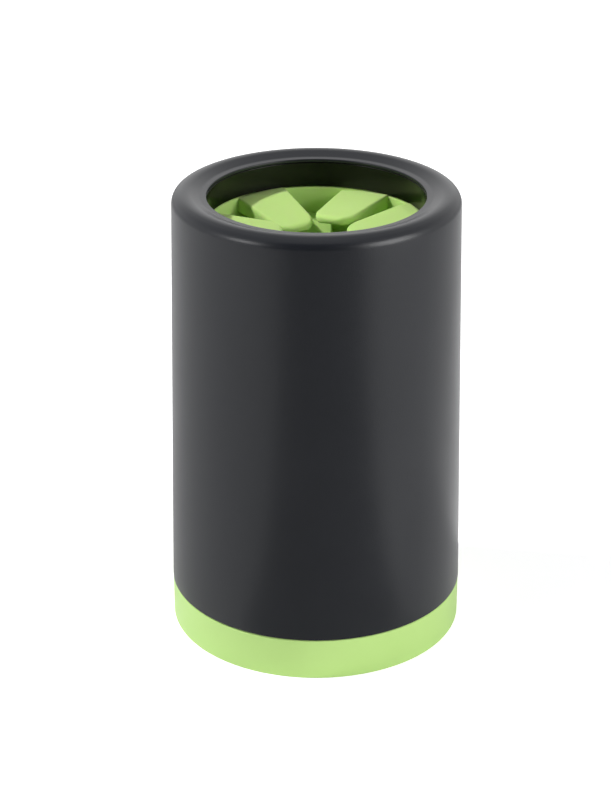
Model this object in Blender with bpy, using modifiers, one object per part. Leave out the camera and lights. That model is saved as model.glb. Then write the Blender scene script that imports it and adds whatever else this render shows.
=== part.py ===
"""Paw washer cup: a matte black sleeve round a gloss black liner, a green silicone insert
with soft scrubbing fingers inside it, and a green base that unscrews.

Metres, +Z up, origin on the cup's axis at the floor. Azimuths run from +Y (the back) towards +X.
"""

from math import asin, cos, degrees, pi, radians, sin, sqrt, tan

import bmesh
import bpy
from mathutils import Vector

# Clearances
SEAT_GAP = 0.0003        # between pieces that rest on or lie against each other
FLANGE_GAP = 0.0004      # liner flange inside the base, and liner inside the sleeve's ring
SPIGOT_GAP = 0.0006      # base spigot inside the sleeve, where the thread runs

# Base
BASE_H = 0.0138          # visible green band
BASE_STEP = 0.0005       # how far the band stands back from the sleeve
BASE_FLOOR = 0.0025      # floor plate
FOOT_RECESS = 0.0025     # hollow under the floor plate
FOOT_W = 0.0050          # ring that the cup stands on
BASE_EDGE = 0.0008       # rounding of the band's edges
SPIGOT_H = 0.0120        # threaded collar above the band
SPIGOT_WALL = 0.0016
SPIGOT_CHAMFER = 0.0008

# Sleeve
SLEEVE_R = 0.0480        # outer radius at the lower edge
SLEEVE_H = 0.13415       # lower edge to crest
SLEEVE_DRAFT = radians(1.124)
SLEEVE_WALL = 0.0022
SLEEVE_EDGE = 0.0006     # rounding of the lower edge
RIM_FILLET = 0.0037      # outer rounding of the crest
RIM_SLOPE = radians(10.0)  # fall of the rim's top face from the crest towards the mouth
RIM_INNER = 0.0007       # rounding of the rim's inner edge
RIB_DEPTH = 0.0040       # ring under the rim that centres the liner
RIB_WALL = 0.0012

# Liner
THROAT_R = 0.03445       # bore that the paw goes through
THROAT_DEPTH = 0.01055   # crest to the throat's lower edge
LINER_WALL = 0.0015
LINER_FLANGE = 0.0022    # thickness of the flange that presses on the seal

# Seal
SEAL_W = 0.0018          # across, a little more than the liner's wall that stands on it
SEAL_T = 0.0022
SEAL_EDGE = 0.0005

# Insert
INSERT_SHY = 0.00015     # how far the insert's bore stands back from the throat
INSERT_WALL = 0.0015
INSERT_EDGE = 0.0005

# Fingers
TIERS = 3
FINGERS = 6              # in each tier
TIER_PITCH = 0.0084
FIRST_AZIMUTH = radians(28.0)
FINGER_DROP = 0.0005     # insert's top edge to the finger's top face
ROOT_WIDTH = 0.0165
ROOT_THICKNESS = 0.0050
TIP_THICKNESS = 0.0029
TIP_HOLE_R = 0.0090      # open circle between the fingertips
TIP_GAP = 0.0018         # between neighbouring fingers at their tip corners
TIP_CORNER = 0.0040      # plan rounding of the tip
TIP_NOSE = 0.0010        # rounding of the tip seen from the side
FINGER_EDGE = 0.0013     # rounding along the finger's sides
DROOP = 0.0030           # how far the tip hangs below the root
STRAY_FINGER = (0, 1)    # tier and place of the finger whose root sits off the pattern
STRAY_SHIFT = radians(-13.0)      # of its root round the wall
STRAY_TIP_SHIFT = radians(12.0)   # of its tip, the other way

# Facets
TURN_STEPS = 64
ARC_STEPS = 4
CORNER_STEPS = 2
NOSE_ANGLES = (90, 60, 30)
BODY_STATIONS = (0.0, 0.3, 0.6)
TIP_ANGLES = (0, 30, 55, 75, 90)

# Levels and radii that follow from the sizes above
SLEEVE_Z = BASE_H + SEAT_GAP
CREST_Z = SLEEVE_Z + SLEEVE_H
THROAT_Z = CREST_Z - THROAT_DEPTH
FLOOR_Z = FOOT_RECESS + BASE_FLOOR
SEAL_Z = FLOOR_Z + SEAT_GAP
LINER_Z = SEAL_Z + SEAL_T + SEAT_GAP
INSERT_Z = FLOOR_Z + SEAT_GAP
INSERT_TOP = THROAT_Z - SEAT_GAP
SPIGOT_TOP = BASE_H + SPIGOT_H
INSERT_IN = THROAT_R + INSERT_SHY
INSERT_OUT = INSERT_IN + INSERT_WALL
LINER_IN = INSERT_OUT + SEAT_GAP
LINER_OUT = LINER_IN + LINER_WALL
BASE_R = SLEEVE_R - BASE_STEP


def sleeve_radius(z):
    """Outer radius of the drafted sleeve at height z."""
    return SLEEVE_R - (z - SLEEVE_Z) * tan(SLEEVE_DRAFT)


def sleeve_bore(z):
    """Inner radius of the sleeve at height z."""
    return sleeve_radius(z) - SLEEVE_WALL / cos(SLEEVE_DRAFT)


SPIGOT_R = sleeve_bore(SPIGOT_TOP) - SPIGOT_GAP
SPIGOT_IN = SPIGOT_R - SPIGOT_WALL
FLANGE_R = SPIGOT_IN - FLANGE_GAP
SEAL_IN = INSERT_OUT + SEAT_GAP
SEAL_OUT = SEAL_IN + SEAL_W


def new_collection(name):
    collection = bpy.data.collections.new(name)
    bpy.context.scene.collection.children.link(collection)
    return collection


def new_material(name, colour, roughness):
    material = bpy.data.materials.new(name)
    material.use_nodes = True
    shader = material.node_tree.nodes["Principled BSDF"]
    shader.inputs["Base Color"].default_value = (*colour, 1.0)
    shader.inputs["Roughness"].default_value = roughness
    shader.inputs["Metallic"].default_value = 0.0
    return material


def new_object(name, mesh, material, parent):
    obj = bpy.data.objects.new(name, mesh)
    mesh.materials.append(material)
    obj.parent = parent
    PARTS.objects.link(obj)
    return obj


def new_empty(name):
    empty = bpy.data.objects.new(name, None)
    empty.empty_display_size = SLEEVE_R
    PARTS.objects.link(empty)
    return empty


def arc(centre_r, centre_z, radius, start, end):
    """Points of an arc in the (radius, height) plane, angles in degrees from outwards."""
    turns = [radians(start + (end - start) * i / ARC_STEPS) for i in range(ARC_STEPS + 1)]
    return [(centre_r + radius * cos(a), centre_z + radius * sin(a)) for a in turns]


def turned(name, profile, material, parent, closed=True):
    """A solid of revolution about Z from a profile that runs down its outer side."""
    mesh = bpy.data.meshes.new(name)
    count = len(profile)
    edges = [(i, i + 1) for i in range(count - 1)]
    if closed:
        edges.append((count - 1, 0))
    mesh.from_pydata([(r, 0.0, z) for r, z in profile], edges, [])
    obj = new_object(name, mesh, material, parent)
    screw = obj.modifiers.new("turn", "SCREW")
    screw.steps = TURN_STEPS
    screw.render_steps = TURN_STEPS
    screw.use_merge_vertices = True
    screw.merge_threshold = 0.00001
    screw.use_smooth_shade = True
    return obj


def make_base(material, parent):
    """Green cap: a band to stand on, a floor, and a threaded collar that goes up into the sleeve."""
    foot_in = BASE_R - FOOT_W
    profile = [
        (0.0, FLOOR_Z),
        (SPIGOT_IN, FLOOR_Z),
        (SPIGOT_IN, SPIGOT_TOP),
        (SPIGOT_R - SPIGOT_CHAMFER, SPIGOT_TOP),
        (SPIGOT_R, SPIGOT_TOP - SPIGOT_CHAMFER),
        (SPIGOT_R, BASE_H),
        *arc(BASE_R - BASE_EDGE, BASE_H - BASE_EDGE, BASE_EDGE, 90, 0),
        *arc(BASE_R - BASE_EDGE, BASE_EDGE, BASE_EDGE, 0, -90),
        (foot_in, 0.0),
        (foot_in, FOOT_RECESS),
        (0.0, FOOT_RECESS),
    ]
    return turned("base_cap", profile, material, parent, closed=False)


def make_seal(material, parent):
    """Silicone ring on the base's floor, round the insert and under the liner's lower edge."""
    low = SEAL_Z + SEAL_EDGE
    high = SEAL_Z + SEAL_T - SEAL_EDGE
    profile = [
        (SEAL_IN + SEAL_EDGE, SEAL_Z + SEAL_T),
        (SEAL_OUT - SEAL_EDGE, SEAL_Z + SEAL_T),
        (SEAL_OUT, high),
        (SEAL_OUT, low),
        (SEAL_OUT - SEAL_EDGE, SEAL_Z),
        (SEAL_IN + SEAL_EDGE, SEAL_Z),
        (SEAL_IN, low),
        (SEAL_IN, high),
    ]
    return turned("base_seal", profile, material, parent)


def make_sleeve(material, parent):
    """Black drafted sleeve with a rolled rim, open below, and a ring under the rim for the liner."""
    fillet_z = CREST_Z - RIM_FILLET
    fillet_r = sleeve_radius(fillet_z) - RIM_FILLET
    under_z = CREST_Z - SLEEVE_WALL
    inner_fillet = RIM_FILLET - SLEEVE_WALL
    bore_top = sleeve_bore(fillet_z)
    rib_in = THROAT_R + LINER_WALL + FLANGE_GAP
    rib_z = under_z - RIB_DEPTH
    lower_out = sleeve_radius(SLEEVE_Z + SLEEVE_EDGE)
    inner_r = THROAT_R + RIM_INNER
    fall = (fillet_r - inner_r) * sin(RIM_SLOPE)
    inner_z = fillet_z + (RIM_FILLET - RIM_INNER - fall) / cos(RIM_SLOPE)
    tilt = 90 + degrees(RIM_SLOPE)
    profile = [
        *arc(inner_r, inner_z, RIM_INNER, 180, tilt),
        arc(fillet_r, fillet_z, RIM_FILLET, tilt, 90)[0],
        *arc(fillet_r, fillet_z, RIM_FILLET, 90, 0),
        (lower_out, SLEEVE_Z + SLEEVE_EDGE),
        (lower_out - SLEEVE_EDGE, SLEEVE_Z),
        (sleeve_bore(SLEEVE_Z), SLEEVE_Z),
        *arc(bore_top - inner_fillet, fillet_z, inner_fillet, 0, 90),
        (rib_in + RIB_WALL, under_z),
        (rib_in + RIB_WALL, rib_z),
        (rib_in, rib_z),
        (rib_in, under_z),
        (THROAT_R, under_z),
    ]
    return turned("outer_sleeve", profile, material, parent)


def make_liner(material, parent):
    """Gloss black tube: a throat under the rim, a shoulder over the insert, and a flange on the seal."""
    top_z = CREST_Z - SLEEVE_WALL - SEAT_GAP
    flange_z = LINER_Z + LINER_FLANGE
    profile = [
        (THROAT_R, top_z),
        (THROAT_R + LINER_WALL, top_z),
        (THROAT_R + LINER_WALL, THROAT_Z + LINER_WALL),
        (LINER_OUT, THROAT_Z + LINER_WALL),
        (LINER_OUT, flange_z),
        (FLANGE_R, flange_z),
        (FLANGE_R, LINER_Z),
        (LINER_IN, LINER_Z),
        (LINER_IN, THROAT_Z),
        (THROAT_R, THROAT_Z),
    ]
    return turned("inner_liner", profile, material, parent)


def make_insert(material, parent):
    """Green silicone tube that stands on the base inside the liner and carries the fingers."""
    profile = [
        (INSERT_IN + INSERT_EDGE, INSERT_TOP),
        (INSERT_OUT - INSERT_EDGE, INSERT_TOP),
        (INSERT_OUT, INSERT_TOP - INSERT_EDGE),
        (INSERT_OUT, INSERT_Z),
        (INSERT_IN, INSERT_Z),
        (INSERT_IN, INSERT_TOP - INSERT_EDGE),
    ]
    return turned("insert_sleeve", profile, material, parent)


# The finger's own frame: its bend axis is X, it reaches along -Y, and its root lies towards +Y.
WALL_R = INSERT_IN - SEAT_GAP
HALF_ROOT = ROOT_WIDTH / 2
HINGE_R = sqrt(WALL_R**2 - HALF_ROOT**2) - ROOT_THICKNESS / 2
FINGER_L = HINGE_R - TIP_HOLE_R
PITCH = 2 * pi / FINGERS
TIP_R = TIP_HOLE_R + TIP_CORNER
HALF_TIP = TIP_R * tan(PITCH / 2) - TIP_GAP / (2 * cos(PITCH / 2))


def rounded(length, size, along):
    """How much a convex corner of this size takes off at a point along its run."""
    into = max(0.0, along - (length - size))
    return size - sqrt(max(0.0, size**2 - into**2))


def section(half_width, half_height):
    """Ring of (across, up) points round a finger's cross-section, the same above and below."""
    edge = min(FINGER_EDGE, 0.8 * half_height, 0.8 * half_width)
    quarter = [radians(90 * i / CORNER_STEPS) for i in range(CORNER_STEPS + 1)]
    right = [(half_width - edge + edge * cos(a), half_height - edge + edge * sin(a)) for a in quarter]
    left = [(-x, z) for x, z in reversed(right)]
    upper = [*right, (0.0, half_height), *left]
    return upper + [(x, -z) for x, z in reversed(upper)]


def finger_rings():
    """Cross-sections of a finger from the rounded root at the wall to the blunt, drooping tip."""
    rings = []
    for angle in NOSE_ANGLES:
        lean = radians(angle)
        ring = []
        for x, z in section(HALF_ROOT, ROOT_THICKNESS / 2):
            reach = sqrt(WALL_R**2 - x**2) - HINGE_R
            ring.append((x, reach * sin(lean), z * cos(lean)))
        rings.append(ring)
    straight = FINGER_L - TIP_CORNER
    stations = [share * straight for share in BODY_STATIONS]
    stations += [straight + TIP_CORNER * sin(radians(angle)) for angle in TIP_ANGLES]
    for along in stations:
        share = along / FINGER_L
        width = HALF_ROOT + (HALF_TIP - HALF_ROOT) * min(1.0, along / straight)
        width -= rounded(FINGER_L, TIP_CORNER, along)
        height = (ROOT_THICKNESS + (TIP_THICKNESS - ROOT_THICKNESS) * share) / 2
        height -= rounded(FINGER_L, TIP_NOSE, along)
        drop = DROOP * share
        rings.append([(x, -along, z - drop) for x, z in section(width, height)])
    return rings


def finger_mesh():
    """One closed finger, lofted through its cross-sections."""
    shape = bmesh.new()
    rings = [[shape.verts.new(point) for point in ring] for ring in finger_rings()]
    count = len(rings[0])
    for near, far in zip(rings, rings[1:]):
        for i in range(count):
            j = (i + 1) % count
            shape.faces.new((near[i], near[j], far[j], far[i]))
    shape.faces.new(rings[-1])
    bmesh.ops.remove_doubles(shape, verts=shape.verts, dist=0.000005)
    bmesh.ops.recalc_face_normals(shape, faces=shape.faces)
    mesh = bpy.data.meshes.new("finger")
    shape.to_mesh(mesh)
    shape.free()
    mesh.shade_smooth()
    mesh.set_sharp_from_angle(angle=radians(35))
    return mesh


def around(azimuth, radius, z):
    """Point at this azimuth and radius from the cup's axis."""
    return Vector((radius * sin(azimuth), radius * cos(azimuth), z))


def place_finger(finger, tier, place):
    """Sets a finger on the insert's wall, aimed at the middle. The stray one is shifted and turned a little."""
    z = INSERT_TOP - FINGER_DROP - ROOT_THICKNESS / 2 - tier * TIER_PITCH
    azimuth = FIRST_AZIMUTH + (place + (tier % 2) / 2) * PITCH
    stray = (tier, place) == STRAY_FINGER
    root = azimuth + (STRAY_SHIFT if stray else 0.0)
    tip = azimuth + (STRAY_TIP_SHIFT if stray else 0.0)
    way = around(tip, TIP_HOLE_R, z) - around(root, HINGE_R, z)
    heading = asin(max(-1.0, min(1.0, (way.x * cos(root) - way.y * sin(root)) / way.length)))
    inset = HALF_ROOT * abs(sin(heading))
    finger.location = around(root, HINGE_R - inset, z)
    finger.rotation_euler = (0.0, 0.0, heading - root)


def make_fingers(material, parent):
    mesh = finger_mesh()
    mesh.materials.append(material)
    for tier in range(TIERS):
        for place in range(FINGERS):
            finger = bpy.data.objects.new(f"finger_{tier + 1}_{place + 1}", mesh)
            finger.parent = parent
            place_finger(finger, tier, place)
            PARTS.objects.link(finger)


for old in list(bpy.data.objects):
    bpy.data.objects.remove(old)
PARTS = new_collection("paw_washer_cup")

black_matte = new_material("black_moulded_pp", (0.028, 0.031, 0.035), 0.48)
black_gloss = new_material("black_polished_pp", (0.008, 0.009, 0.009), 0.12)
green_base = new_material("green_soft_tpr", (0.48, 0.74, 0.24), 0.60)
green_silicone = new_material("green_silicone", (0.46, 0.72, 0.21), 0.55)
seal_silicone = new_material("clear_grey_silicone", (0.60, 0.62, 0.60), 0.50)

base_axis = new_empty("base_axis")
shell_axis = new_empty("shell_axis")
insert_axis = new_empty("insert_axis")

make_base(green_base, base_axis)
make_seal(seal_silicone, base_axis)
make_sleeve(black_matte, shell_axis)
make_liner(black_gloss, shell_axis)
make_insert(green_silicone, insert_axis)
make_fingers(green_silicone, insert_axis)

print("bend axis radius", round(HINGE_R, 5), "finger length", round(FINGER_L, 5))
print("finger width", round(2 * HALF_ROOT, 5), "to", round(2 * HALF_TIP, 5))
print("stray shift", round(degrees(STRAY_SHIFT), 2), "degrees")
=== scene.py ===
import bpy
import numpy as np
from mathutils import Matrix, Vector


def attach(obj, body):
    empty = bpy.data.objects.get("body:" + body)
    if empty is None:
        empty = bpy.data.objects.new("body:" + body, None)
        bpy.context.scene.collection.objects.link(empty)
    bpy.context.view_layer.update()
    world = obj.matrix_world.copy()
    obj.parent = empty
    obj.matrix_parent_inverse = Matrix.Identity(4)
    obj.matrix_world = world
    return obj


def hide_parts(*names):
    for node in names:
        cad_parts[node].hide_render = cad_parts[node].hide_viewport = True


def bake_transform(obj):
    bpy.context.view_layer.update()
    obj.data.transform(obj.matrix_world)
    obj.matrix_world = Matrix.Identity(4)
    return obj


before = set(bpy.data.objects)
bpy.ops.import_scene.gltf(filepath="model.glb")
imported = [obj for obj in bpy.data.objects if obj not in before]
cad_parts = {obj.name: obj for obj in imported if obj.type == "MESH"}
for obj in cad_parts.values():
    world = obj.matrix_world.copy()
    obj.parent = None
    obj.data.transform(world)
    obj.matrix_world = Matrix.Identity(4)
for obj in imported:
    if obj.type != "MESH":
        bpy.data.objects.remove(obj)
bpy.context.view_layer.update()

# The cup's sizes are in millimetres, and its meshes are written in metres. Its azimuths run from
# the back (+Y) towards the right (+X). The sizes of the studio, at the end, are in metres.

# Base cap: one moulding in pale green soft-touch rubber. A floor plate lies over a hollow foot, and
# the collar above the visible band screws up into the sleeve.
BASE_R = 47.9
BASE_TOP = 13.8
FLOOR_TOP = 5.0
FOOT_HOLLOW = 2.5
FOOT_IN = 42.5
COLLAR_R = 44.97
COLLAR_IN = 43.37
COLLAR_TOP = 25.8


def rounded_profile(corners, arc=7, run=9, closed=True, apart=1e-4):
    """Profile with a round at each corner (r, z, rounding).

    With u and v the unit vectors to the corners before and after, b their bisector, w the unit
    vector across it and h half the angle between them, the round's points are
    corner + b * rounding / sin h - b * rounding * cos t + w * rounding * sin t. Points on the
    straight sides between rounds crowd towards the ends, so that flat sides stay flat in the
    shading. A point less than apart from the one before it is dropped.
    """
    corners = np.array(corners, float)
    point, size = corners[:, None, :2], corners[:, None, 2:]
    u = np.roll(point, 1, 0) - point
    v = np.roll(point, -1, 0) - point
    u = u / np.linalg.norm(u, axis=2, keepdims=True)
    v = v / np.linalg.norm(v, axis=2, keepdims=True)
    half = np.arccos(np.clip((u * v).sum(2, keepdims=True), -1, 1)) / 2
    b = (u + v) / np.linalg.norm(u + v, axis=2, keepdims=True)
    w = (v - u) / np.linalg.norm(v - u, axis=2, keepdims=True)
    t = np.linspace(-1, 1, arc)[None, :, None] * (np.pi / 2 - half)
    rounds = point + size * (b / np.sin(half) - b * np.cos(t) + w * np.sin(t))
    share = (1 - np.cos(np.pi * np.arange(1, run + 1) / (run + 1)))[None, :, None] / 2
    start, stop = rounds[:, -1:], np.roll(rounds[:, :1], -1, 0)
    path = np.concatenate([rounds, start + (stop - start) * share], axis=1).reshape(-1, 2)
    if not closed:
        path = path[: len(path) - run]
    step = np.linalg.norm(path - np.roll(path, 1, 0), axis=1)
    return path[step > apart]


def grid_faces(rows, columns, wrap_rows):
    """Faces of a grid of points that closes along each row, and over the rows if asked."""
    index = np.arange(rows * columns).reshape(rows, columns)
    if wrap_rows:
        index = np.vstack([index, index[:1]])
    beside = np.roll(index, -1, 1)
    return np.stack([index[:-1], beside[:-1], beside[1:], index[1:]], axis=-1).reshape(-1, 4)


def turned(path, steps=192):
    """Surface of revolution: the profile point (r, z) at azimuth a lies at (r sin a, r cos a, z).

    A profile that starts and ends on the axis gets one point and a fan of triangles there.
    """
    a = np.linspace(0, 2 * np.pi, steps, endpoint=False)
    r, z = path[:, :1], path[:, 1:]
    points = np.stack([r * np.sin(a), r * np.cos(a), z + 0 * a], axis=-1)
    if path[0, 0] > 0:
        return points.reshape(-1, 3), grid_faces(len(path), steps, True).tolist()
    inner = points[1:-1].reshape(-1, 3)
    faces = grid_faces(len(path) - 2, steps, False)
    first = np.arange(steps)
    last = first + (len(path) - 3) * steps
    top, bottom = len(inner), len(inner) + 1
    fan_top = np.stack([np.full(steps, top), np.roll(first, -1), first], axis=-1)
    fan_bottom = np.stack([last, np.roll(last, -1), np.full(steps, bottom)], axis=-1)
    points = np.vstack([inner, points[:1, 0], points[-1:, 0]])
    return points, faces.tolist() + fan_top.tolist() + fan_bottom.tolist()


def new_piece(name, points, faces, material, slot):
    """A smooth-shaded mesh object at the origin, from points in millimetres."""
    mesh = bpy.data.meshes.new(name)
    mesh.from_pydata((np.asarray(points) / 1000).tolist(), [], faces)
    mesh.shade_smooth()
    mesh.materials.append(material)
    piece = bpy.data.objects.new(name, mesh)
    bpy.context.scene.collection.objects.link(piece)
    return piece


def linear(colour):
    """sRGB hex to linear RGBA: c / 12.92 up to 0.04045, else ((c + 0.055) / 1.055) ** 2.4."""
    c = np.array([int(colour[i:i + 2], 16) for i in (1, 3, 5)]) / 255
    c = np.where(c <= 0.04045, c / 12.92, ((c + 0.055) / 1.055) ** 2.4)
    return (*c.tolist(), 1.0)


def set_inputs(tree, node, inputs):
    """Gives each named or numbered input of a node its value, or a link from another node."""
    for key, value in inputs.items():
        if isinstance(value, bpy.types.NodeSocket):
            tree.links.new(value, node.inputs[key])
        else:
            node.inputs[key].default_value = value


def add_node(tree, kind, inputs=None, **settings):
    """Adds a node with its settings, values and links."""
    node = tree.nodes.new(kind)
    for key, value in settings.items():
        setattr(node, key, value)
    set_inputs(tree, node, inputs or {})
    return node


def new_material(name):
    """A material and its node tree."""
    material = bpy.data.materials.new(name)
    material.use_nodes = True
    return material, material.node_tree


# A Mix node calls its inputs A and B for every kind of value, so its colours go by number.
COLOUR_A, COLOUR_B, MIXED = 6, 7, 2

# Soft-touch TPR from a spark-eroded mould: an even, pale, chalky green with a fine matte grain that
# breaks up every highlight. The grain is 0.2 mm in life and is drawn at 0.7 mm, to show.
TPR_LIGHT = "#c1e688"
TPR_DARK = "#bce282"
TPR_CLOUD = 14.0         # width of the faint clouds between the two greens
TPR_GRAIN = 0.7
TPR_GRAIN_DEPTH = 0.2
green_tpr, tree = new_material("green_soft_touch_tpr")
xyz = add_node(tree, "ShaderNodeTexCoord").outputs["Object"]
cloud = add_node(tree, "ShaderNodeTexNoise",
                 {"Vector": xyz, "Scale": 1000 / TPR_CLOUD, "Detail": 3.0}).outputs["Fac"]
grain = add_node(tree, "ShaderNodeTexNoise",
                 {"Vector": xyz, "Scale": 1000 / TPR_GRAIN, "Detail": 2.0}).outputs["Fac"]
colour = add_node(tree, "ShaderNodeMix",
                  {"Factor": cloud, COLOUR_A: linear(TPR_DARK), COLOUR_B: linear(TPR_LIGHT)},
                  data_type="RGBA")
rough = add_node(tree, "ShaderNodeMapRange", {"Value": grain, "To Min": 0.50, "To Max": 0.64})
bump = add_node(tree, "ShaderNodeBump",
                {"Height": grain, "Strength": 0.10, "Distance": TPR_GRAIN_DEPTH / 1000})
set_inputs(tree, tree.nodes["Principled BSDF"], {
    "Base Color": colour.outputs[MIXED],
    "Roughness": rough.outputs["Result"],
    "Normal": bump.outputs["Normal"],
    "IOR": 1.48,
    "Sheen Weight": 0.25,
    "Sheen Roughness": 0.5,
})

base_profile = rounded_profile([
    (0, FLOOR_TOP, 0),
    (COLLAR_IN, FLOOR_TOP, 0.8),
    (COLLAR_IN, COLLAR_TOP, 0.3),
    (COLLAR_R, COLLAR_TOP, 0.6),
    (COLLAR_R, BASE_TOP, 0.3),
    (BASE_R, BASE_TOP, 0.4),
    (BASE_R, 0, 0.5),
    (FOOT_IN, 0, 0.6),
    (FOOT_IN, FOOT_HOLLOW, 0.6),
    (0, FOOT_HOLLOW, 0),
], closed=False)
base = new_piece("base_cap_moulding", *turned(base_profile), green_tpr, "green_base")
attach(base, "base")
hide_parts("base_cap")

# Thread on the collar: a single right-handed ridge, moulded with the cap, that climbs 8 mm a turn
# and fades out at both ends.
THREAD_LEAD = 8.0
THREAD_START = 15.6
THREAD_TURNS = 1.0
THREAD_STEPS = 150
THREAD_FADE = 0.06       # share of the length over which each end fades
THREAD_HEIGHT = 0.38
THREAD_FOOT = 1.5        # half the ridge's width at its foot and at its crest
THREAD_CREST = 0.6
THREAD_SINK = 0.3        # how far the ridge reaches into the collar's wall
THREAD_END_HEIGHT = 0.02
THREAD_END_WIDTH = 0.35  # share of the width that is left at the very ends


def capped_tube(rings):
    """Points and faces of a tube through rings of points, with a flat face over each end.

    Seen along the tube from its first ring, the points of a ring run clockwise, so that the faces
    point outwards.
    """
    rows, columns = rings.shape[:2]
    ring = np.arange(columns)
    ends = [ring[::-1].tolist(), (ring + (rows - 1) * columns).tolist()]
    return rings.reshape(-1, 3), grid_faces(rows, columns, False).tolist() + ends


# At the share s of the length, f rises from 0 at either end to 1 over THREAD_FADE, and the ridge's
# height and width follow 3 f^2 - 2 f^3. Its section has points (out, up) from the wall's face.
s = np.linspace(0, 1, THREAD_STEPS)[:, None]
f = np.clip(np.minimum(s, 1 - s) / THREAD_FADE, 0, 1)
fade = f * f * (3 - 2 * f)
height = THREAD_END_HEIGHT + THREAD_HEIGHT * fade
width = THREAD_END_WIDTH + (1 - THREAD_END_WIDTH) * fade
out = np.array([-THREAD_SINK, 0.0, 1.0, 1.0, 0.0, -THREAD_SINK])
up = np.array([THREAD_FOOT, THREAD_FOOT, THREAD_CREST, -THREAD_CREST, -THREAD_FOOT, -THREAD_FOOT])
turn = -2 * np.pi * THREAD_TURNS * s
r = COLLAR_R + np.where(out > 0, out * height, out)
z = THREAD_START + THREAD_LEAD * THREAD_TURNS * s + up * width
ridge = np.stack([r * np.sin(turn), r * np.cos(turn), z], axis=-1)
thread = new_piece("collar_thread", *capped_tube(ridge), green_tpr, "green_base")
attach(thread, "base")

# Seal: a loose moulded ring of silicone on the cap's floor, under the liner's lower edge. The screw
# of the cap squeezes it, which keeps the water in.
SEAL_IN = 36.4
SEAL_OUT = 38.2
SEAL_Z = 5.3
SEAL_T = 2.2
SEAL_EDGE = 0.5

# Silicone moulded without pigment: a milky grey, faintly clouded, with a soft sheen.
SEAL_LIGHT = "#d6d8d4"
SEAL_DARK = "#c4c8c2"
SEAL_CLOUD = 5.0
seal_silicone, tree = new_material("clear_grey_silicone")
xyz = add_node(tree, "ShaderNodeTexCoord").outputs["Object"]
cloud = add_node(tree, "ShaderNodeTexNoise",
                 {"Vector": xyz, "Scale": 1000 / SEAL_CLOUD, "Detail": 2.0}).outputs["Fac"]
colour = add_node(tree, "ShaderNodeMix",
                  {"Factor": cloud, COLOUR_A: linear(SEAL_DARK), COLOUR_B: linear(SEAL_LIGHT)},
                  data_type="RGBA")
set_inputs(tree, tree.nodes["Principled BSDF"], {
    "Base Color": colour.outputs[MIXED],
    "Roughness": 0.42,
    "IOR": 1.41,
})

seal_profile = rounded_profile([
    (SEAL_IN, SEAL_Z + SEAL_T, SEAL_EDGE),
    (SEAL_OUT, SEAL_Z + SEAL_T, SEAL_EDGE),
    (SEAL_OUT, SEAL_Z, SEAL_EDGE),
    (SEAL_IN, SEAL_Z, SEAL_EDGE),
], run=3)
seal = new_piece("seal_ring", *turned(seal_profile), seal_silicone, "seal")
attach(seal, "seal")
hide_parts("base_seal")

# Insert: a soft green silicone tube, moulded in one with its fingers. It stands on the cap's floor
# inside the liner and comes out for washing.
INSERT_IN = 34.6
INSERT_OUT = 36.1
INSERT_Z = 5.3
INSERT_TOP = 137.4
INSERT_EDGE = 0.4

# Moulded silicone: pale green all through, with a dry, powdery surface that hardly shines. A little
# light goes in and comes out again, which keeps thin edges bright. The powder is drawn at 0.8 mm.
SILICONE_LIGHT = "#c5e68b"
SILICONE_DARK = "#c0e284"
SILICONE_CLOUD = 9.0     # width of the faint clouds between the two greens
SILICONE_POWDER = 0.8
SILICONE_POWDER_DEPTH = 0.2
SILICONE_DEPTH = 1.5     # how deep the light goes in
green_silicone, tree = new_material("green_moulded_silicone")
xyz = add_node(tree, "ShaderNodeTexCoord").outputs["Object"]
cloud = add_node(tree, "ShaderNodeTexNoise",
                 {"Vector": xyz, "Scale": 1000 / SILICONE_CLOUD, "Detail": 3.0}).outputs["Fac"]
powder = add_node(tree, "ShaderNodeTexNoise",
                  {"Vector": xyz, "Scale": 1000 / SILICONE_POWDER, "Detail": 2.0}).outputs["Fac"]
colour = add_node(tree, "ShaderNodeMix",
                  {"Factor": cloud,
                   COLOUR_A: linear(SILICONE_DARK), COLOUR_B: linear(SILICONE_LIGHT)},
                  data_type="RGBA")
rough = add_node(tree, "ShaderNodeMapRange", {"Value": powder, "To Min": 0.48, "To Max": 0.62})
bump = add_node(tree, "ShaderNodeBump",
                {"Height": powder, "Strength": 0.12, "Distance": SILICONE_POWDER_DEPTH / 1000})
set_inputs(tree, tree.nodes["Principled BSDF"], {
    "Base Color": colour.outputs[MIXED],
    "Roughness": rough.outputs["Result"],
    "Normal": bump.outputs["Normal"],
    "IOR": 1.41,
    "Specular IOR Level": 0.15,
    "Sheen Weight": 0.05,
    "Sheen Roughness": 0.5,
    "Subsurface Weight": 0.30,
    "Subsurface Radius": (0.6, 1.0, 0.3),
    "Subsurface Scale": SILICONE_DEPTH / 1000,
})

insert_profile = rounded_profile([
    (INSERT_IN, INSERT_TOP, INSERT_EDGE),
    (INSERT_OUT, INSERT_TOP, INSERT_EDGE),
    (INSERT_OUT, INSERT_Z, INSERT_EDGE),
    (INSERT_IN, INSERT_Z, INSERT_EDGE),
])
insert = new_piece("insert_tube", *turned(insert_profile), green_silicone, "green_silicone")
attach(insert, "insert")
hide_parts("insert_sleeve")

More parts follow.
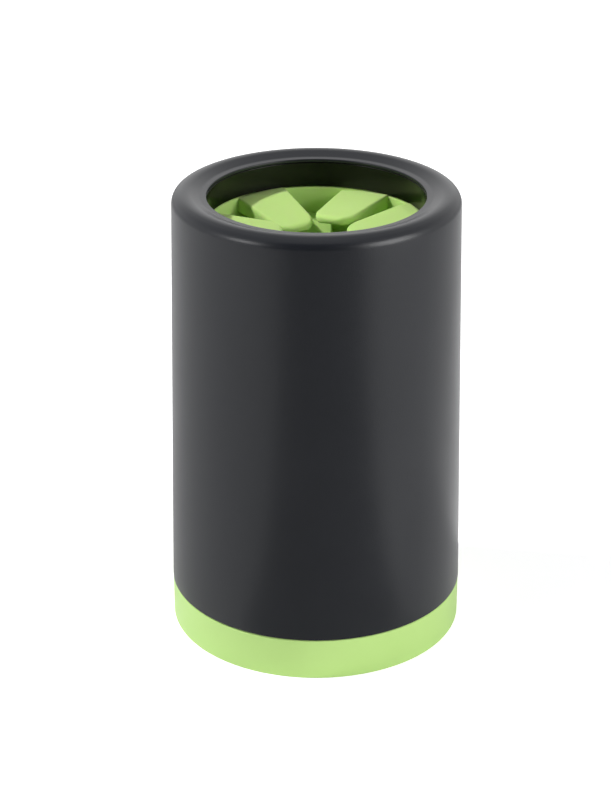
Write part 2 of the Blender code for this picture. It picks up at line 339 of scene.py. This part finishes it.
# Fingers: three tiers of six flat silicone tongues that grow out of the insert's wall and hang a
# little at their blunt tips. Each tier sits over the gaps of the one below. They bend at the root.
TIERS = 3
FINGERS = 6
TIER_PITCH = 8.4
FIRST_AZIMUTH = 28.0     # degrees
FINGER_DROP = 0.1        # insert's top edge to the finger's top face
ROOT_WIDTH = 16.9        # across the bend line
ROOT_THICK = 5.0
ROOT_REACH = 3.3         # bend line to the wall, roughly
ROOT_SINK = 0.5          # how far the root reaches past WALL_R, into the tube's wall
TIP_WIDTH = 14.4         # where the tip's rounding starts
TIP_THICK = 2.7
TIP_HOLE_R = 8.8         # cup's axis to the tip
TIP_CORNER = 5.8         # plan rounding of the tip
TIP_NOSE = 1.8           # length over which the tip's faces close, seen from the side
TIP_BLUNT = 0.12         # share of the thickness that stays at the very end
ROOT_EDGE = 0.7          # rounding of the long edges, at the root and at the tip
TIP_EDGE = 1.4
EDGE_MOST = 0.85         # the most of half the width or thickness that this rounding may take
ROOT_RINGS = 6           # rings along the root, the straight part and the tip
BODY_RINGS = 16
TIP_RINGS = 14
BOW_POINTS = 6           # points round each long edge and across each face
FACE_POINTS = 9
WALL_R = 34.3            # just inside the tube's wall
# The bend line lies half a root's thickness inside the chord where the root meets WALL_R.
HINGE_R = np.sqrt(WALL_R**2 - (ROOT_WIDTH / 2) ** 2) - ROOT_THICK / 2
# How far each finger's tip hangs, by tier and place.
HANG = np.array([
    [-0.5, 2.4, 2.6, 2.4, 1.4, 2.5],
    [2.8, 2.4, 2.6, 3.0, 2.3, 4.0],
    [2.5, 2.8, 2.4, 2.7, 2.9, 2.4],
])
# How a few soft fingers have settled, by tier and place: slipped round the wall, turned and tilted
# sideways (in degrees), and risen or drawn back from the axis (in millimetres).
SLIP = {(0, 1): -13.0, (0, 5): -0.5, (1, 5): -4.0}
TURN = {(0, 1): 8.0, (0, 5): -1.5}
LEAN = {(0, 0): 4.0, (0, 1): -2.0, (0, 4): 4.0, (0, 5): 2.0, (1, 5): -11.0}
RISE = {(0, 0): -0.1, (0, 1): 0.4, (0, 4): 0.4, (0, 5): 0.3}
DRAWN_BACK = {(0, 1): 1.2, (0, 4): 1.7}


def finger_surface(length, hang, turn, lean):
    """Rings of a finger in its own frame: bend axis along X, reaching along -Y, root towards +Y.

    Each ring is a rounded rectangle of half width w and half thickness h, which shrink evenly along
    the finger. Past the start of the tip's corners w loses corner - sqrt(corner^2 - into^2), and
    past the start of its nose h is multiplied by blunt + (1 - blunt) * sqrt(1 - (into / nose)^2),
    with into the way past that start. The ring sinks evenly to hang at the tip and slopes sideways
    by lean. The root's rings run out to the tube's wall, a circle about the cup's axis, which the
    finger sees turned by turn.
    """
    straight = length - TIP_CORNER
    root = np.linspace(1, 0, ROOT_RINGS)[:, None]
    body = np.linspace(0, straight, BODY_RINGS)[1:]
    tip = straight + TIP_CORNER * np.sin(np.radians(np.linspace(0, 90, TIP_RINGS)[1:]))
    along = np.concatenate([-ROOT_REACH * root[:, 0], body, tip])[:, None]
    inside = np.maximum(along, 0)
    w = (ROOT_WIDTH + (TIP_WIDTH - ROOT_WIDTH) * np.minimum(along / straight, 1)) / 2
    into = np.maximum(along - straight, 0)
    w = w - TIP_CORNER + np.sqrt(np.maximum(TIP_CORNER**2 - into**2, 0))
    h = (ROOT_THICK + (TIP_THICK - ROOT_THICK) * inside / length) / 2
    into = np.maximum(along - (length - TIP_NOSE), 0)
    h = h * (TIP_BLUNT + (1 - TIP_BLUNT) * np.sqrt(np.maximum(1 - (into / TIP_NOSE) ** 2, 0)))
    edge = ROOT_EDGE + (TIP_EDGE - ROOT_EDGE) * inside / length
    edge = np.minimum(edge, EDGE_MOST * np.minimum(w, h))
    # Unit rounded rectangle: sign of the corner, then the round's own cosine and sine.
    bow = np.radians(np.linspace(0, 90, BOW_POINTS))
    flat = np.linspace(1, -1, FACE_POINTS)[1:-1]
    corner, across, up = np.ones(BOW_POINTS), np.cos(bow), np.sin(bow)
    side_x = np.concatenate([corner, flat, -corner])
    side_z = np.ones(len(side_x))
    round_x = np.concatenate([across, 0 * flat, -across[::-1]])
    round_z = np.concatenate([up, 1 + 0 * flat, up[::-1]])
    side_x = np.concatenate([side_x, side_x[::-1]])
    side_z = np.concatenate([side_z, -side_z])
    round_x = np.concatenate([round_x, round_x[::-1]])
    round_z = np.concatenate([round_z, -round_z[::-1]])
    x = side_x * (w - edge) + round_x * edge
    z = side_z * (h - edge) + round_z * edge
    y = -along + 0 * x
    off_x, off_y = HINGE_R * np.sin(turn), HINGE_R * np.cos(turn)
    wall = np.sqrt((WALL_R + ROOT_SINK) ** 2 - (x[:ROOT_RINGS] + off_x) ** 2) - off_y
    y[:ROOT_RINGS] = root * wall
    return np.stack([x, y, z - hang * inside / length + x * np.tan(lean)], axis=-1)


for tier in range(TIERS):
    for place in range(FINGERS):
        name = f"finger_{tier + 1}_{place + 1}"
        which = (tier, place)
        turn, lean = np.radians([TURN.get(which, 0), LEAN.get(which, 0)])
        length = HINGE_R - TIP_HOLE_R - DRAWN_BACK.get(which, 0)
        shape = finger_surface(length, HANG[which], turn, lean)
        azimuth = FIRST_AZIMUTH + (place + (tier % 2) / 2) * 360 / FINGERS + SLIP.get(which, 0)
        a = np.radians(azimuth)
        level = INSERT_TOP - FINGER_DROP + RISE.get(which, 0) - ROOT_THICK / 2 - tier * TIER_PITCH
        hinge = np.array([HINGE_R * np.sin(a), HINGE_R * np.cos(a), level])
        # The finger's own X and -Y directions, turned to its place on the wall.
        sideways = np.array([np.cos(turn - a), np.sin(turn - a), 0.0])
        inward = np.array([np.sin(turn - a), -np.cos(turn - a), 0.0])
        rings = hinge + shape[..., :1] * sideways - shape[..., 1:2] * inward
        rings[..., 2] += shape[..., 2]
        tongue = new_piece(name + "_tongue", *capped_tube(rings), green_silicone, "green_silicone")
        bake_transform(tongue)
        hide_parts(name)

# Liner: a polished black polypropylene tube. Its narrow throat shows below the rim, a shoulder
# traps the insert's top edge, and a flange centres its lower end in the cap.
THROAT_R = 34.45
THROAT_Z = 137.7
THROAT_TOP = 145.88
LINER_WALL = 1.5
LINER_IN = 36.4
LINER_Z = 7.8
FLANGE_T = 2.2
FLANGE_R = 42.97

# Polypropylene from a polished core: near black and glossy, with a faint waviness from shrinkage
# and a thin smeared haze that blurs what it mirrors.
LINER_BLACK = "#060706"
LINER_HAZE = "#090a09"
LINER_SMEAR = 4.0
LINER_WAVE = 11.0
LINER_WAVE_DEPTH = 0.4
black_gloss, tree = new_material("black_polished_polypropylene")
xyz = add_node(tree, "ShaderNodeTexCoord").outputs["Object"]
wave = add_node(tree, "ShaderNodeTexNoise",
                {"Vector": xyz, "Scale": 1000 / LINER_WAVE, "Detail": 1.0}).outputs["Fac"]
smear = add_node(tree, "ShaderNodeTexNoise",
                 {"Vector": xyz, "Scale": 1000 / LINER_SMEAR, "Detail": 4.0}).outputs["Fac"]
colour = add_node(tree, "ShaderNodeMix",
                  {"Factor": smear, COLOUR_A: linear(LINER_BLACK), COLOUR_B: linear(LINER_HAZE)},
                  data_type="RGBA")
rough = add_node(tree, "ShaderNodeMapRange", {"Value": smear, "To Min": 0.20, "To Max": 0.28})
bump = add_node(tree, "ShaderNodeBump",
                {"Height": wave, "Strength": 0.05, "Distance": LINER_WAVE_DEPTH / 1000})
set_inputs(tree, tree.nodes["Principled BSDF"], {
    "Base Color": colour.outputs[MIXED],
    "Roughness": rough.outputs["Result"],
    "Normal": bump.outputs["Normal"],
    "IOR": 1.49,
    "Specular IOR Level": 0.25,
})

liner_profile = rounded_profile([
    (THROAT_R, THROAT_TOP, 0.2),
    (THROAT_R + LINER_WALL, THROAT_TOP, 0.3),
    (THROAT_R + LINER_WALL, THROAT_Z + LINER_WALL, 0.4),
    (LINER_IN + LINER_WALL, THROAT_Z + LINER_WALL, 0.6),
    (LINER_IN + LINER_WALL, LINER_Z + FLANGE_T, 0.4),
    (FLANGE_R, LINER_Z + FLANGE_T, 0.4),
    (FLANGE_R, LINER_Z, 0.4),
    (LINER_IN, LINER_Z, 0.3),
    (LINER_IN, THROAT_Z, 0.3),
    (THROAT_R, THROAT_Z, 0.3),
])
liner = new_piece("liner_tube", *turned(liner_profile), black_gloss, "black_gloss")
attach(liner, "shell")
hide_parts("inner_liner")

# Sleeve: the black polypropylene shell that the hand holds, moulded with a little draft and a broad
# rolled rim that swells up from a flat lip round the mouth. A short rib under the rim centres the
# liner's throat.
SLEEVE_R = 48.0
SLEEVE_Z = 14.1
SLEEVE_WALL = 2.2
DRAFT = np.tan(np.radians(1.124))
CREST_Z = 148.5
RIM_EDGE_Z = 147.0       # inner edge of the rim
RIM_EDGE = 0.35
LIP_Z = 146.05           # underside of the rim
LIP_R = 36.5             # the flat lip at the inner edge ends here, and the rim swells
LIP_RISE = 0.17
LIP_BLEND = 3.0
SWELL_SLOPE = np.tan(np.radians(20.0))
SWELL_ROUND = 5.0
SHED_R = 42.1            # from here the rim's top falls outwards
SHED_SLOPE = np.tan(np.radians(24.0))
SHED_ROUND = 4.5
RIM_FILLET = 3.4
RIB_IN = 36.35
RIB_WALL = 1.2
RIB_DEPTH = 4.0
lip_top = RIM_EDGE_Z + LIP_RISE
swell_r = LIP_R + (CREST_Z - lip_top) / SWELL_SLOPE
# The falling line, z = CREST_Z - (r - SHED_R) * SHED_SLOPE, would reach the axis at shed_top. It
# meets the drafted wall, r = SLEEVE_R - (z - SLEEVE_Z) * DRAFT, at the rim's outer edge.
shed_top = CREST_Z + SHED_R * SHED_SLOPE
edge_r = (SLEEVE_R - (shed_top - SLEEVE_Z) * DRAFT) / (1 - SHED_SLOPE * DRAFT)
edge_z = CREST_Z - (edge_r - SHED_R) * SHED_SLOPE
bore_low = SLEEVE_R - SLEEVE_WALL
bore_top = bore_low - (LIP_Z - SLEEVE_Z) * DRAFT

# Polypropylene from a spark-eroded mould: charcoal with a fine satin grain, so that lamps show as
# broad soft sheens. The grain is 0.15 mm in life and is drawn at 0.5 mm.
SLEEVE_BLACK = "#181a1f"
SLEEVE_GREY = "#1c1e23"
SLEEVE_CLOUD = 18.0      # width of the faint clouds between the two colours
SLEEVE_GRAIN = 0.5
SLEEVE_GRAIN_DEPTH = 0.2
black_matte, tree = new_material("black_satin_polypropylene")
xyz = add_node(tree, "ShaderNodeTexCoord").outputs["Object"]
cloud = add_node(tree, "ShaderNodeTexNoise",
                 {"Vector": xyz, "Scale": 1000 / SLEEVE_CLOUD, "Detail": 4.0}).outputs["Fac"]
grain = add_node(tree, "ShaderNodeTexNoise",
                 {"Vector": xyz, "Scale": 1000 / SLEEVE_GRAIN, "Detail": 2.0}).outputs["Fac"]
colour = add_node(tree, "ShaderNodeMix",
                  {"Factor": cloud, COLOUR_A: linear(SLEEVE_BLACK), COLOUR_B: linear(SLEEVE_GREY)},
                  data_type="RGBA")
rough = add_node(tree, "ShaderNodeMapRange", {"Value": cloud, "To Min": 0.29, "To Max": 0.36})
bump = add_node(tree, "ShaderNodeBump",
                {"Height": grain, "Strength": 0.10, "Distance": SLEEVE_GRAIN_DEPTH / 1000})
set_inputs(tree, tree.nodes["Principled BSDF"], {
    "Base Color": colour.outputs[MIXED],
    "Roughness": rough.outputs["Result"],
    "Normal": bump.outputs["Normal"],
    "IOR": 1.49,
    "Specular IOR Level": 0.40,
})

sleeve_profile = rounded_profile([
    (THROAT_R, RIM_EDGE_Z, RIM_EDGE),
    (LIP_R, lip_top, LIP_BLEND),
    (swell_r, CREST_Z, SWELL_ROUND),
    (SHED_R, CREST_Z, SHED_ROUND),
    (edge_r, edge_z, RIM_FILLET),
    (SLEEVE_R, SLEEVE_Z, 0.15),
    (bore_low, SLEEVE_Z, 0.4),
    (bore_top, LIP_Z, 1.5),
    (RIB_IN + RIB_WALL, LIP_Z, 0.4),
    (RIB_IN + RIB_WALL, LIP_Z - RIB_DEPTH, 0.4),
    (RIB_IN, LIP_Z - RIB_DEPTH, 0.4),
    (RIB_IN, LIP_Z, 0.3),
    (THROAT_R, LIP_Z, 0.15),
], arc=11)
sleeve = new_piece("sleeve_shell", *turned(sleeve_profile), black_matte, "black_matte")
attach(sleeve, "shell")
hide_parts("outer_sleeve")

# Studio: a white paper floor in a white room. A small lamp high on the left draws the shadows in
# the mouth, two soft boxes light the front from both sides, and a weak one behind shows on the rim.
WHITE = (1.0, 1.0, 1.0, 1.0)
PAPER = (0.86, 0.86, 0.86, 1.0)
FLOOR_SIZE = 6.0
# What the camera sees of the floor is lifted towards white. From LIFT_FROM to LIFT_TO away from the
# cup, where the lamps hardly reach, the lift grows.
FLOOR_LIFT = 0.66
FLOOR_LIFT_FAR = 0.95
LIFT_FROM = 0.3
LIFT_TO = 1.2
# Reflections see the floor lifted less, but filled in on the right, where the cup's shadow falls.
# Right of the axis the fill sets in from FILL_START to FILL_FULL, and from FADE_START to FADE_END
# it falls from FILL_NEAR to FILL_FAR.
FLOOR_LIFT_MIRRORED = 0.1
FILL_NEAR = 0.40
FILL_FAR = 0.12
FILL_START = 0.045
FILL_FULL = 0.065
FADE_START = 0.12
FADE_END = 0.24


def flat_sheet(name, corners, material):
    """A flat sheet of the studio with four corners, in metres."""
    mesh = bpy.data.meshes.new(name)
    mesh.from_pydata(corners, [], [(0, 1, 2, 3)])
    mesh.materials.append(material)
    sheet = bpy.data.objects.new(name, mesh)
    bpy.context.scene.collection.objects.link(sheet)
    return sheet


sweep, tree = new_material("white_sweep")
xyz = add_node(tree, "ShaderNodeTexCoord").outputs["Object"]
ray = add_node(tree, "ShaderNodeLightPath").outputs
right = add_node(tree, "ShaderNodeSeparateXYZ", {"Vector": xyz}).outputs["X"]
set_in = add_node(tree, "ShaderNodeMapRange",
                  {"Value": right, "From Min": FILL_START, "From Max": FILL_FULL})
fall = add_node(tree, "ShaderNodeMapRange",
                {"Value": right, "From Min": FADE_START, "From Max": FADE_END,
                 "To Min": FILL_NEAR, "To Max": FILL_FAR})
fill = add_node(tree, "ShaderNodeMath",
                {0: set_in.outputs["Result"], 1: fall.outputs["Result"], 2: FLOOR_LIFT_MIRRORED},
                operation="MULTIPLY_ADD")
mirrored = add_node(tree, "ShaderNodeMath", {0: ray["Is Glossy Ray"], 1: fill.outputs["Value"]},
                    operation="MULTIPLY")
away = add_node(tree, "ShaderNodeVectorMath", {0: xyz}, operation="LENGTH")
direct = add_node(tree, "ShaderNodeMapRange",
                  {"Value": away.outputs["Value"], "From Min": LIFT_FROM, "From Max": LIFT_TO,
                   "To Min": FLOOR_LIFT, "To Max": FLOOR_LIFT_FAR})
lift = add_node(tree, "ShaderNodeMath",
                {0: ray["Is Camera Ray"], 1: direct.outputs["Result"],
                 2: mirrored.outputs["Value"]}, operation="MULTIPLY_ADD")
glow = add_node(tree, "ShaderNodeEmission", {"Color": WHITE, "Strength": lift.outputs["Value"]})
paper = add_node(tree, "ShaderNodeBsdfDiffuse", {"Color": PAPER})
both = add_node(tree, "ShaderNodeAddShader",
                {0: paper.outputs["BSDF"], 1: glow.outputs["Emission"]})
set_inputs(tree, tree.nodes["Material Output"], {"Surface": both.outputs["Shader"]})
half = FLOOR_SIZE / 2
floor = flat_sheet(
    "floor", [(-half, -half, 0), (half, -half, 0), (half, half, 0), (-half, half, 0)], sweep)

# The camera sees the room white all round. So do reflections up to CEILING_FROM, the sine of an
# elevation, and above CEILING_TO they see a dimmer ceiling. The room's light on the cup is weak.
CEILING_FROM = 0.40
CEILING_TO = 0.55
CEILING = 0.75
ROOM_LIGHT = 0.15
ROOM_COLOUR = (0.96, 0.98, 1.0, 1.0)
world = bpy.data.worlds.new("studio")
bpy.context.scene.world = world
world.use_nodes = True
tree = world.node_tree
tree.nodes.clear()
ray = add_node(tree, "ShaderNodeLightPath").outputs
way = add_node(tree, "ShaderNodeTexCoord").outputs["Generated"]
height = add_node(tree, "ShaderNodeSeparateXYZ", {"Vector": way}).outputs["Z"]
ceiling = add_node(tree, "ShaderNodeMapRange",
                   {"Value": height, "From Min": CEILING_FROM, "From Max": CEILING_TO,
                    "To Min": 1.0, "To Max": CEILING})
level = add_node(tree, "ShaderNodeMath", {0: ceiling.outputs["Result"], 1: ray["Is Camera Ray"]},
                 operation="MAXIMUM")
white = add_node(tree, "ShaderNodeBackground", {"Color": WHITE, "Strength": level.outputs["Value"]})
room = add_node(tree, "ShaderNodeBackground", {"Color": ROOM_COLOUR, "Strength": ROOM_LIGHT})
seen = add_node(tree, "ShaderNodeMath", {0: ray["Is Camera Ray"], 1: ray["Is Glossy Ray"]},
                operation="MAXIMUM")
both = add_node(tree, "ShaderNodeMixShader",
                {"Fac": seen.outputs["Value"],
                 1: room.outputs["Background"], 2: white.outputs["Background"]})
add_node(tree, "ShaderNodeOutputWorld", {"Surface": both.outputs["Shader"]})

LAMP_AIM = np.array([0.0, 0.0, 0.10])    # the lamps point here, two thirds of the way up the cup


def add_softbox(name, azimuth, elevation, distance, size, power):
    """A square lamp aimed at the cup, at LAMP_AIM + distance * direction.

    Its azimuth a and elevation e, in degrees, run from the front to the right and up, so that the
    direction is (sin a cos e, -cos a cos e, sin e).
    """
    a, e = np.radians([azimuth, elevation])
    way = np.array([np.sin(a) * np.cos(e), -np.cos(a) * np.cos(e), np.sin(e)])
    lamp = bpy.data.lights.new(name, "AREA")
    lamp.shape = "SQUARE"
    lamp.size = size
    lamp.energy = power
    holder = bpy.data.objects.new(name, lamp)
    holder.location = way * distance + LAMP_AIM
    holder.rotation_mode = "QUATERNION"
    holder.rotation_quaternion = Vector(way).to_track_quat("Z", "Y")
    bpy.context.scene.collection.objects.link(holder)
    return holder


left_lamp = add_softbox("left_lamp", azimuth=-97, elevation=52, distance=1.6, size=0.10, power=19.5)
left_lamp.visible_glossy = False
add_softbox("left_box", azimuth=-59, elevation=19, distance=1.3, size=0.4, power=3.9)
add_softbox("right_box", azimuth=59, elevation=16, distance=1.3, size=0.8, power=12.5)
add_softbox("back_box", azimuth=180, elevation=18, distance=1.5, size=1.1, power=1.2)

# Two felts that only reflections see: a grey one on the floor in front, and a black curtain behind
# the camera. They keep the middle of the dark sleeve and the front of its rim dark.
CARDS = {
    "front_card": ("#a8a8a8", [
        (-0.05, -0.055, 0.001), (0.07, -0.055, 0.001), (0.61, -0.9, 0.001), (-0.39, -0.9, 0.001),
    ]),
    "curtain": ("#0a0a0a", [
        (-0.8, -0.95, 0.0), (0.8, -0.95, 0.0), (0.7, -0.75, 1.5), (-0.7, -0.75, 1.5),
    ]),
}
for name, (shade, corners) in CARDS.items():
    felt, tree = new_material(name + "_felt")
    set_inputs(tree, tree.nodes["Principled BSDF"], {"Base Color": linear(shade), "Roughness": 0.9})
    card = flat_sheet(name, corners, felt)
    card.visible_camera = False
    card.visible_diffuse = False
    card.visible_shadow = False
    card.visible_transmission = False

# Camera: the photograph's place, a little above and in front of the cup, looking down at its mouth.
CAMERA_PLACE = (-0.00344, -0.6429, 0.3718)
CAMERA_DOWN = 24.69      # degrees below the level
lens = bpy.data.cameras.new("camera")
lens.lens = 97.7
lens.sensor_width = 36.0
camera = bpy.data.objects.new("camera", lens)
camera.location = CAMERA_PLACE
camera.rotation_euler = (np.radians(90 - CAMERA_DOWN), 0.0, 0.0)
bpy.context.scene.collection.objects.link(camera)
bpy.context.scene.camera = camera
bpy.context.scene.view_settings.view_transform = "Standard"
